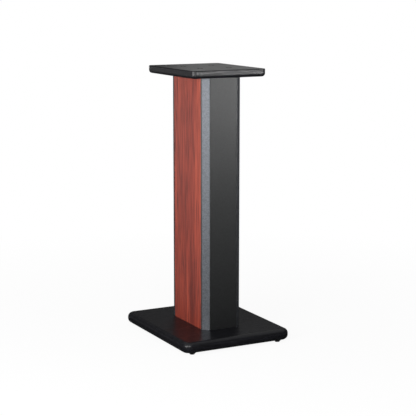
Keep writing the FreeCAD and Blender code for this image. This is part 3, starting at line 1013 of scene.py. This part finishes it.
class STAND_OT_plates(bpy.types.Operator):
    """Makes the base plate and the top plate, wrapped in black wood-grain foil"""

    bl_idname = "speaker_stand.plates"
    bl_label = "Wrapped Plates"

    def execute(self, context):
        sizes = context.scene.stand_sizes
        wrap = made_once(black_woodgrain_wrap)
        reach_x, reach_y = (gap / 2 for gap in fastener_spacing(SCREWS_LOW, SCREWS_HIGH, SCREW_HEAD_RADIUS))
        places = [(side * reach_x, end * reach_y) for side in (-1, 1) for end in (-1, 1)]
        seat = WASHERS_HIGH.z
        bolt_bore = [
            (SHANK_HOLE_RADIUS, BASE_HIGH.z),
            (SHANK_HOLE_RADIUS, seat),
            (WASHER_BORE_RADIUS, seat),
            (WASHER_BORE_RADIUS, BASE_LOW.z + RIM_EASE),
            (WASHER_BORE_RADIUS + RIM_EASE, BASE_LOW.z),
        ]
        foot_bore = [
            (0, BASE_LOW.z + FOOT_BORE_DEPTH),
            (FOOT_BORE_RADIUS, BASE_LOW.z + FOOT_BORE_DEPTH),
            (FOOT_BORE_RADIUS, BASE_LOW.z + FOOT_SLEEVE_DEPTH),
            (FOOT_SLEEVE_RADIUS, BASE_LOW.z + FOOT_SLEEVE_DEPTH),
            (FOOT_SLEEVE_RADIUS, BASE_LOW.z + FOOT_FLANGE_DEPTH),
            (FOOT_FLANGE_RADIUS, BASE_LOW.z + FOOT_FLANGE_DEPTH),
            (FOOT_FLANGE_RADIUS, BASE_LOW.z),
        ]
        bores = [(place, bolt_bore) for place in places]
        bores += [(middle(*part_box(foot + "_foot_stud")), foot_bore) for foot in FEET]
        base = wrapped_plate(
            "base_plate_wrapped",
            BASE_LOW,
            BASE_HIGH,
            sizes.base_corner,
            sizes.base_lower_edge,
            sizes.base_upper_edge,
            bores,
        )
        place_piece("base_plate_wrapped", base, wrap, STAND, "black_grained_wrap", "base_plate")
        cone_slope = SCREW_HEAD_CONE / (SCREW_HEAD_RADIUS - SHANK_RADIUS)
        sink = [
            (SINK_RADIUS + RIM_EASE, TOP_HIGH.z),
            (SINK_RADIUS, TOP_HIGH.z - RIM_EASE),
            (SINK_RADIUS, SCREW_CONE_TOP),
            (SINK_FLOOR_RADIUS, SCREW_CONE_TOP),
            (SHANK_HOLE_RADIUS, SCREW_CONE_TOP - cone_slope * (SINK_FLOOR_RADIUS - SHANK_HOLE_RADIUS)),
            (SHANK_HOLE_RADIUS, TOP_LOW.z),
        ]
        top = wrapped_plate(
            "top_plate_wrapped",
            TOP_LOW,
            TOP_HIGH,
            sizes.top_corner,
            sizes.top_lower_edge,
            sizes.top_upper_edge,
            [(place, sink) for place in places],
        )
        place_piece("top_plate_wrapped", top, wrap, STAND, "black_grained_wrap", "top_plate")
        return {"FINISHED"}


class STAND_OT_wood_panels(bpy.types.Operator):
    """Makes the two veneered side panels with their rounded show edges"""

    bl_idname = "speaker_stand.wood_panels"
    bl_label = "Wood Panels"

    def execute(self, context):
        edge = context.scene.stand_sizes.veneer_edge
        for node, side in (("left_wood_panel", -1), ("right_wood_panel", 1)):
            name = node + "_veneered"
            mesh = show_board(name, node, 0, side, edge)
            stained = mesh.attributes.new(PAINTED_GROOVE_SHADE, "FLOAT", "FACE")
            # Faces turned more than 15 degrees from the side are marked for painted shade, the groove beside
            # the corner strips
            for face in mesh.polygons:
                stained.data[face.index].value = abs(face.normal.x) < math.cos(SHARP_ANGLE / 2)
            place_piece(name, mesh, made_once(lacquered_red_veneer), STAND, "red_wood_veneer", node)
        return {"FINISHED"}


class STAND_OT_face_panels(bpy.types.Operator):
    """Makes the black front and rear panels with their eased show edges"""

    bl_idname = "speaker_stand.face_panels"
    bl_label = "Face Panels"

    def execute(self, context):
        edge = context.scene.stand_sizes.board_edge
        for node, end in (("front_panel", -1), ("rear_panel", 1)):
            name = node + "_wrapped"
            mesh = show_board(name, node, 1, end, edge)
            place_piece(name, mesh, made_once(black_pebbled_wrap), STAND, "black_fine_textured_wrap", node)
        return {"FINISHED"}


class STAND_OT_corner_posts(bpy.types.Operator):
    """Makes the four grey corner strips, each hooked round the end of a core wall"""

    bl_idname = "speaker_stand.corner_posts"
    bl_label = "Corner Posts"

    def execute(self, context):
        edge = context.scene.stand_sizes.board_edge
        for end_name, end in (("front", -1), ("rear", 1)):
            for side_name, side in (("left", -1), ("right", 1)):
                node = f"{end_name}_{side_name}_corner_post"
                low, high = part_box(node)
                face_edge, show = sorted((abs(low.x), abs(high.x)))
                back, front = sorted((abs(low.y), abs(high.y)))
                land = front - (show - face_edge)
                outline = (
                    (face_edge, front),
                    (face_edge, WALL_HIGH.y),
                    (WALL_HIGH.x, WALL_HIGH.y),
                    (WALL_HIGH.x, back),
                    (show, back),
                    (show, land),
                )
                corners = [Vector((side * x, end * y)) for x, y in outline]
                name = node + "_painted"
                mesh = eased_prism(name, corners, (edge, 0, 0, 0, 0, edge), low.z, high.z)
                place_piece(name, mesh, made_once(flaked_grey_paint), STAND, "grey_metallic_paint", node)
        return {"FINISHED"}


class STAND_OT_core(bpy.types.Operator):
    """Finishes the walls, braces and threaded sleeves inside the stand"""

    bl_idname = "speaker_stand.core"
    bl_label = "Core"

    def execute(self, context):
        # The core walls are made black as painted shade for the grooves beside the wood panels
        for node in ("left_core_wall", "right_core_wall"):
            dress_node(node, made_once(black_stained_fibreboard))
        for node in ("lower_column_brace", "middle_column_brace", "upper_column_brace"):
            dress_node(node, made_once(bare_fibreboard))
        for node in ("top_wall_inserts", "bottom_wall_inserts", "foot_inserts"):
            dress_node(node, made_once(bright_zinc_plate))
        return {"FINISHED"}


class STAND_OT_top_screws(bpy.types.Operator):
    """Makes the four crowned socket screws that hold the top plate"""

    bl_idname = "speaker_stand.top_screws"
    bl_label = "Top Screws"

    def execute(self, context):
        nickel = made_once(bright_nickel_plate)
        cone_bottom = SCREW_CONE_TOP - SCREW_HEAD_CONE
        socket_floor = SCREW_CROWN_TOP - SCREW_SOCKET_DEPTH
        ball = (SCREW_HEAD_RADIUS**2 + SCREW_HEAD_CROWN**2) / (2 * SCREW_HEAD_CROWN)
        profile = [
            (0, cone_bottom),
            (SHANK_RADIUS, cone_bottom),
            (SCREW_HEAD_RADIUS, SCREW_CONE_TOP),
            (SCREW_HEAD_RADIUS, SCREW_RIM_TOP),
        ]
        socket_rim = SCREW_SOCKET_RADIUS + SOCKET_EASE
        crown_end = 2 * socket_rim
        for step in range(1, CROWN_STEPS + 1):
            radius = SCREW_HEAD_RADIUS + (crown_end - SCREW_HEAD_RADIUS) * step / CROWN_STEPS
            profile.append((radius, SCREW_CROWN_TOP - ball + math.sqrt(ball**2 - radius**2)))
        profile += [
            (socket_rim, SCREW_CROWN_TOP - ball + math.sqrt(ball**2 - socket_rim**2), HEXAGON),
            (SCREW_SOCKET_RADIUS, SCREW_CROWN_TOP - 2 * SOCKET_EASE, HEXAGON),
            (SCREW_SOCKET_RADIUS, socket_floor, HEXAGON),
            (0, socket_floor),
        ]
        shank = threaded_rod(
            "top_screw_shank", SHANK_RADIUS, SHANK_PITCH, SCREWS_LOW.z, cone_bottom, nickel
        )
        screw = joined("top_screw", turned(profile, "top_screw_head"), shank)
        spacing = fastener_spacing(SCREWS_LOW, SCREWS_HIGH, SCREW_HEAD_RADIUS)
        name = "top_plate_screws_plated"
        mesh = four_fasteners(name, screw, spacing, SCREW_SEED, nickel)
        place_piece(name, mesh, nickel, STAND, "nickel_plated_steel", "top_plate_screws")
        return {"FINISHED"}


class STAND_OT_base_bolts(bpy.types.Operator):
    """Makes the four socket-head bolts and washers under the base"""

    bl_idname = "speaker_stand.base_bolts"
    bl_label = "Base Bolts"

    def execute(self, context):
        oxide = made_once(oiled_black_oxide)
        zinc = made_once(bright_zinc_plate)
        head_top = BOLTS_LOW.z + BOLT_HEAD_HEIGHT
        socket_top = BOLTS_LOW.z + BOLT_SOCKET_DEPTH
        profile = [
            (0, socket_top),
            (BOLT_SOCKET_RADIUS, socket_top, HEXAGON),
            (BOLT_SOCKET_RADIUS, BOLTS_LOW.z + SOCKET_EASE, HEXAGON),
            (BOLT_SOCKET_RADIUS + SOCKET_EASE, BOLTS_LOW.z, HEXAGON),
            (BOLT_HEAD_RADIUS - BOLT_HEAD_EASE, BOLTS_LOW.z),
            (BOLT_HEAD_RADIUS, BOLTS_LOW.z + BOLT_HEAD_EASE),
            (BOLT_HEAD_RADIUS, head_top),
            (0, head_top),
        ]
        shank = threaded_rod("base_bolt_shank", SHANK_RADIUS, SHANK_PITCH, head_top, BOLTS_HIGH.z, oxide)
        bolt = joined("base_bolt", turned(profile, "base_bolt_head"), shank)
        name = "base_bolts_blackened"
        spacing = fastener_spacing(BOLTS_LOW, BOLTS_HIGH, BOLT_HEAD_RADIUS)
        mesh = four_fasteners(name, bolt, spacing, BOLT_SEED, oxide)
        place_piece(name, mesh, oxide, STAND, "black_oxide_steel", "base_bolts")
        radius = WASHERS_HIGH.x - BOLTS_HIGH.x + BOLT_HEAD_RADIUS
        ring_profile = [
            (SHANK_HOLE_RADIUS, WASHERS_LOW.z),
            (radius - WASHER_EASE, WASHERS_LOW.z),
            (radius, WASHERS_LOW.z + WASHER_EASE),
            (radius, WASHERS_HIGH.z),
            (SHANK_HOLE_RADIUS, WASHERS_HIGH.z),
        ]
        name = "base_bolt_washers_plated"
        washer = turned(ring_profile, "base_bolt_washer", closed=True)
        mesh = four_fasteners(name, washer, spacing, WASHER_SEED, zinc)
        place_piece(name, mesh, zinc, STAND, "zinc_plated_steel", "base_bolt_washers")
        return {"FINISHED"}


class STAND_OT_feet(bpy.types.Operator):
    """Makes the threaded stud, fluted disc and rubber sole of each levelling foot"""

    bl_idname = "speaker_stand.feet"
    bl_label = "Levelling Feet"

    def execute(self, context):
        zinc = made_once(bright_zinc_plate)
        nylon = made_once(textured_black_nylon)
        rubber = made_once(dusty_black_rubber)
        shoulder = STUD_LOW.z + STUD_PIN_LENGTH
        rod = threaded_rod("foot_stud_rod", STUD_RADIUS, STUD_PITCH, shoulder, STUD_HIGH.z, zinc)
        pin_profile = [
            (0, STUD_LOW.z),
            (STUD_PIN_RADIUS, STUD_LOW.z),
            (STUD_PIN_RADIUS, shoulder),
            (0, shoulder),
        ]
        pin = turned(pin_profile, "foot_pin")
        stud = joined("foot_stud", rod, pin)
        disc_radius = (DISC_HIGH.x - DISC_LOW.x) / 2
        blank = turned(
            [
                (DISC_BORE_RADIUS, DISC_LOW.z),
                (DISC_LOWER_RADIUS - DISC_EASE, DISC_LOW.z),
                (DISC_LOWER_RADIUS, DISC_LOW.z + DISC_EASE / 2),
                (disc_radius, DISC_HIGH.z - DISC_RIM_HEIGHT),
                (disc_radius, DISC_HIGH.z - DISC_EASE),
                (disc_radius - DISC_EASE, DISC_HIGH.z),
                (DISC_BORE_RADIUS, DISC_HIGH.z),
            ],
            "foot_disc_blank",
            closed=True,
        )
        blank_object = link(bpy.data.objects.new("foot_disc_blank", blank))
        sole_radius = (SOLE_HIGH.x - SOLE_LOW.x) / 2
        sole_profile = [(0, SOLE_LOW.z)]
        for step in range(EASE_STEPS + 1):
            turn = QUARTER_TURN * step / EASE_STEPS
            radius = sole_radius - SOLE_EDGE * (1 - math.sin(turn))
            sole_profile.append((radius, SOLE_LOW.z + SOLE_EDGE * (1 - math.cos(turn))))
        sole_profile += [
            (sole_radius, SOLE_HIGH.z - SOLE_TOP_EDGE),
            (sole_radius - SOLE_TOP_EDGE, SOLE_HIGH.z),
            (SOLE_BORE_RADIUS, SOLE_HIGH.z),
            (SOLE_BORE_RADIUS, SOLE_FLOOR),
            (0, SOLE_FLOOR),
        ]
        sole = turned(sole_profile, "foot_sole")
        flutes = {
            "Disc": blank_object,
            "Flutes": DISC_FLUTES,
            "Flute Radius": FLUTE_RADIUS,
            "Flute Circle": disc_radius + FLUTE_RADIUS - FLUTE_BITE,
            "Height": FLUTE_CUTTER_HEIGHTS * (DISC_HIGH.z - DISC_LOW.z),
            "Material": nylon,
        }
        disc = grow(fluted_disc_tree(), "foot_disc", flutes)
        bpy.data.objects.remove(blank_object)
        for foot in FEET:
            place = Vector((*middle(*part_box(foot + "_foot_stud")), 0))
            for ending, pattern, material, body, slot in (
                ("stud", stud, zinc, "screw", "zinc_plated_steel"),
                ("sole", sole, rubber, "sole", "black_rubber"),
                ("disc", disc, nylon, "screw", "black_nylon"),
            ):
                mesh = pattern.copy()
                for vert in mesh.vertices:
                    vert.co += place
                node = f"{foot}_foot_{ending}"
                place_piece(node + "_finished", mesh, material, f"{foot}_{body}", slot, node)
        return {"FINISHED"}


class STAND_OT_stage(bpy.types.Operator):
    """Sets the pale floor, the soft lights and the camera"""

    bl_idname = "speaker_stand.stage"
    bl_label = "Stage"

    def execute(self, context):
        stage = context.scene.stand_stage
        context.scene.view_settings.view_transform = "Standard"
        floor_mesh = bpy.data.meshes.new("floor")
        sides = ((-1, -1), (1, -1), (1, 1), (-1, 1))
        corners = [(x * FLOOR_REACH, y * FLOOR_REACH, -FLOOR_DROP) for x, y in sides]
        floor_mesh.from_pydata(corners, [], [(0, 1, 2, 3)])
        floor_mesh.materials.append(made_once(pale_floor))
        link(bpy.data.objects.new("floor", floor_mesh))
        for name, (place, aim, width, height, grid) in SOFTBOXES.items():
            light = bpy.data.lights.new(name, "AREA")
            light.shape = "RECTANGLE"
            light.size = width
            light.size_y = height
            light.energy = getattr(stage, name)
            light.spread = math.radians(grid)
            softbox = link(bpy.data.objects.new(name, light))
            softbox.location = place
            softbox.rotation_euler = (Vector(aim) - Vector(place)).to_track_quat("-Z", "Y").to_euler()
            softbox.visible_camera = False
        world = bpy.data.worlds.new("studio")
        world.use_nodes = True
        sky = world.node_tree
        sky.nodes.clear()
        # A pale backdrop low down that fades to the dark of the studio above it, and a soft ceiling
        bearing = add_node(sky, "ShaderNodeTexCoord").outputs["Generated"]
        height = add_node(sky, "ShaderNodeSeparateXYZ", {"Vector": bearing}).outputs["Z"]
        low_light = add_node(
            sky,
            "ShaderNodeMapRange",
            {"Value": height, **BACKDROP_END, "To Min": stage.backdrop, "To Max": stage.ambient},
        )
        ceiling = add_node(
            sky, "ShaderNodeMapRange", {"Value": height, **CEILING_START, "To Max": stage.ceiling}
        )
        glow = add_node(sky, "ShaderNodeMath", {"Value": low_light, "Value_001": ceiling}, operation="ADD")
        rays = add_node(sky, "ShaderNodeLightPath").outputs
        strength = add_node(
            sky,
            "ShaderNodeMath",
            {"Value": rays["Is Camera Ray"], "Value_001": glow},
            operation="MAXIMUM",
        )
        light = add_node(sky, "ShaderNodeBackground", {"Color": WHITE, "Strength": strength})
        add_node(sky, "ShaderNodeOutputWorld", {"Surface": light})
        context.scene.world = world
        camera = bpy.data.cameras.new("camera")
        camera.lens = stage.lens
        camera.sensor_width = SENSOR_WIDTH
        view = link(bpy.data.objects.new("camera", camera))
        view.location = stage.camera_place
        sight = Vector(stage.camera_aim) - Vector(stage.camera_place)
        view.rotation_euler = sight.to_track_quat("-Z", "Y").to_euler()
        context.scene.camera = view
        return {"FINISHED"}


OPERATORS = (
    STAND_OT_plates,
    STAND_OT_wood_panels,
    STAND_OT_face_panels,
    STAND_OT_corner_posts,
    STAND_OT_core,
    STAND_OT_top_screws,
    STAND_OT_base_bolts,
    STAND_OT_feet,
    STAND_OT_stage,
)
GROUPS = {"stand_sizes": StandSizes, "stand_colours": StandColours, "stand_stage": StandStage}


class STAND_PT_sidebar(bpy.types.Panel):
    """Lists the stand's pieces and settings"""

    bl_idname = "STAND_PT_sidebar"
    bl_label = "Speaker Stand"
    bl_space_type = "VIEW_3D"
    bl_region_type = "UI"
    bl_category = "Speaker Stand"

    def draw(self, context):
        for operator in OPERATORS:
            self.layout.operator(operator.bl_idname)
        for name, group in GROUPS.items():
            box = self.layout.box()
            for setting in group.__annotations__:
                box.prop(getattr(context.scene, name), setting)


CLASSES = (*GROUPS.values(), *OPERATORS, STAND_PT_sidebar)


def register():
    for cls in CLASSES:
        bpy.utils.register_class(cls)
    for name, group in GROUPS.items():
        setattr(bpy.types.Scene, name, PointerProperty(type=group))


def unregister():
    for name in GROUPS:
        delattr(bpy.types.Scene, name)
    for cls in reversed(CLASSES):
        bpy.utils.unregister_class(cls)


def main():
    register()
    for operator in OPERATORS:
        family, action = operator.bl_idname.split(".")
        getattr(getattr(bpy.ops, family), action)()


if __name__ == "__main__":
    main()
